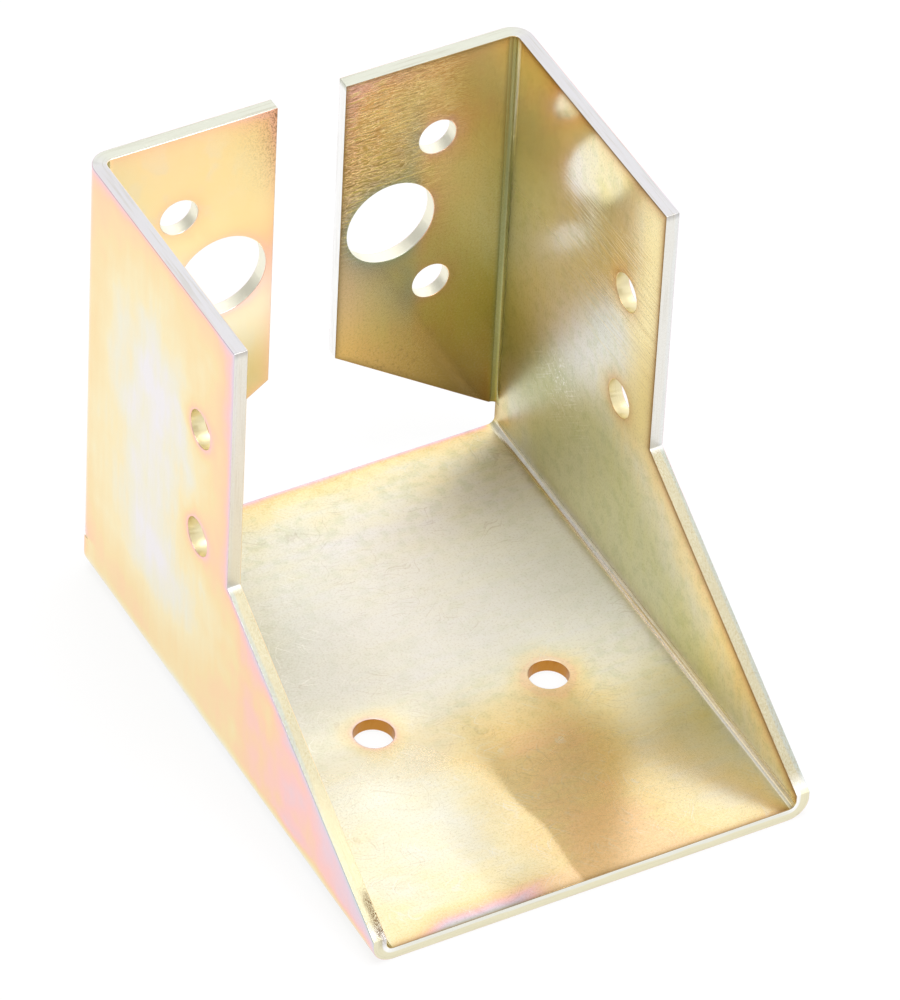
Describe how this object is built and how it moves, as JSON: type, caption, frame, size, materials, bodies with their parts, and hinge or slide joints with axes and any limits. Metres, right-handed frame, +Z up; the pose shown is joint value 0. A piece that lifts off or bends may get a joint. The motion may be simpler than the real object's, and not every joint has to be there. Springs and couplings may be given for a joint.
{
  "type": "joist hanger",
  "caption": "Joist hanger folded from one yellow-zinc steel sheet: flat seat, slanted cheeks and inward flanges with bolt and screw holes.",
  "frame": {"origin": "middle of the bounding box's bottom face, on the surface that the seat stands on", "axes": "+X across the joist, +Y from the open front to the flanges that go against the carrying beam, +Z up"},
  "size_m": [0.064, 0.085, 0.07],
  "materials": {
    "yellow_zinc_steel": "yellow passivated zinc plating with faint iridescence, satin, pale sheared edges"
  },
  "bodies": {
    "root": {"hanger": "yellow_zinc_steel"}
  },
  "joints": []
}
